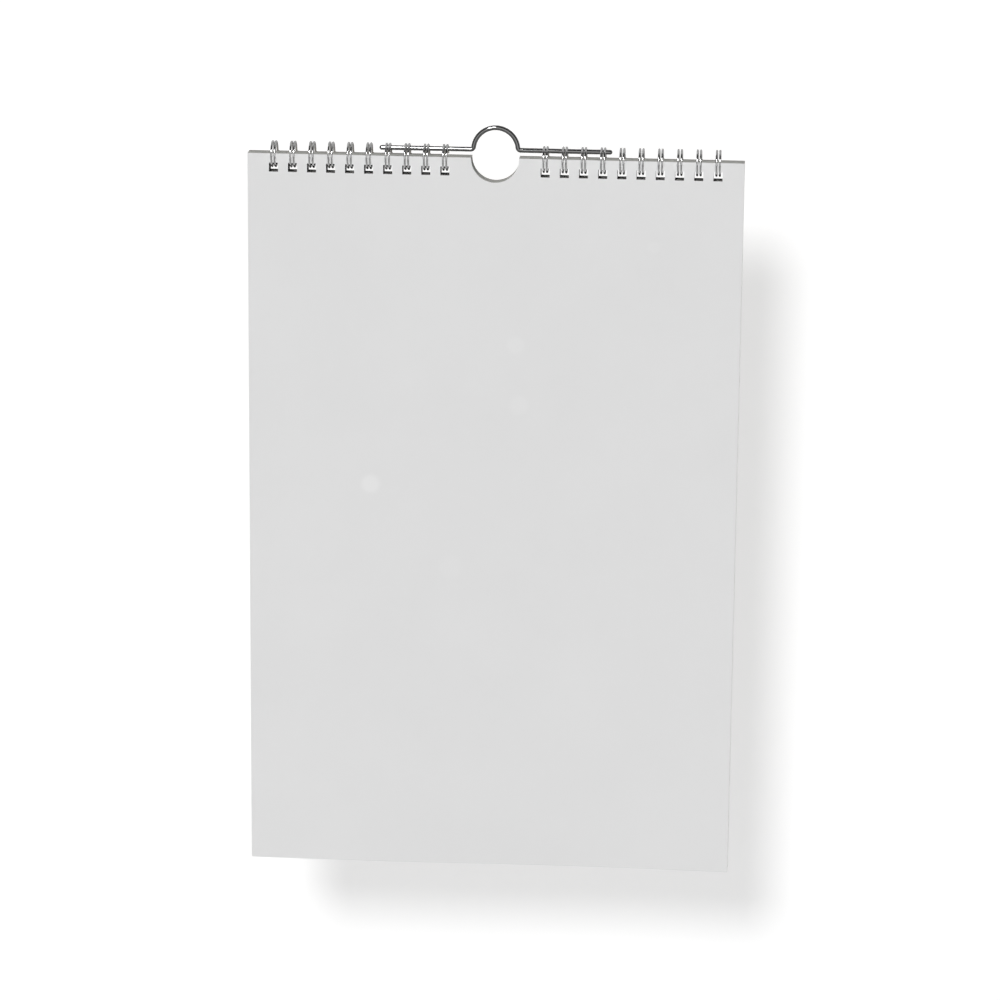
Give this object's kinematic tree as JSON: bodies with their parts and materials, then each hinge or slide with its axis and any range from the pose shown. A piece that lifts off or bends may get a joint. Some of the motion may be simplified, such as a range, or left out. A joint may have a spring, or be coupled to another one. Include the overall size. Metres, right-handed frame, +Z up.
{
  "type": "wall calendar",
  "caption": "Blank wall calendar: an upright pad of sheets on two twin-loop wire combs, with a thumb notch and a bent wire hanger.",
  "frame": {"origin": "where the nail carries the calendar: the underside of the top of the hanger's arch, in the middle of its width", "axes": "+X to the right as the front is read, +Y back towards the wall, +Z up"},
  "size_m": [0.22, 0.0121, 0.344],
  "materials": {
    "cover_paper": "matt coated",
    "page_paper": "matt uncoated",
    "board_card": "grey board",
    "comb_steel": "bright plated wire",
    "hanger_steel": "bright plated wire"
  },
  "bodies": {
    "hanger": {"wire_hanger": "hanger_steel"},
    "pad": {"left_wire_comb": "comb_steel", "right_wire_comb": "comb_steel", "page_block": "page_paper", "back_board": "board_card"},
    "cover": {"front_cover": "cover_paper"}
  },
  "joints": [
    {"name": "pad_swing", "type": "hinge", "parent": "hanger", "child": "pad", "pos_m": [0, 0, -0.0088], "axis": [-1, 0, 0], "range_deg": [0, 90]},
    {"name": "cover_turn", "type": "hinge", "parent": "pad", "child": "cover", "pos_m": [0, 0, -0.01268], "axis": [-1, 0, 0], "range_deg": [0, 50]}
  ]
}
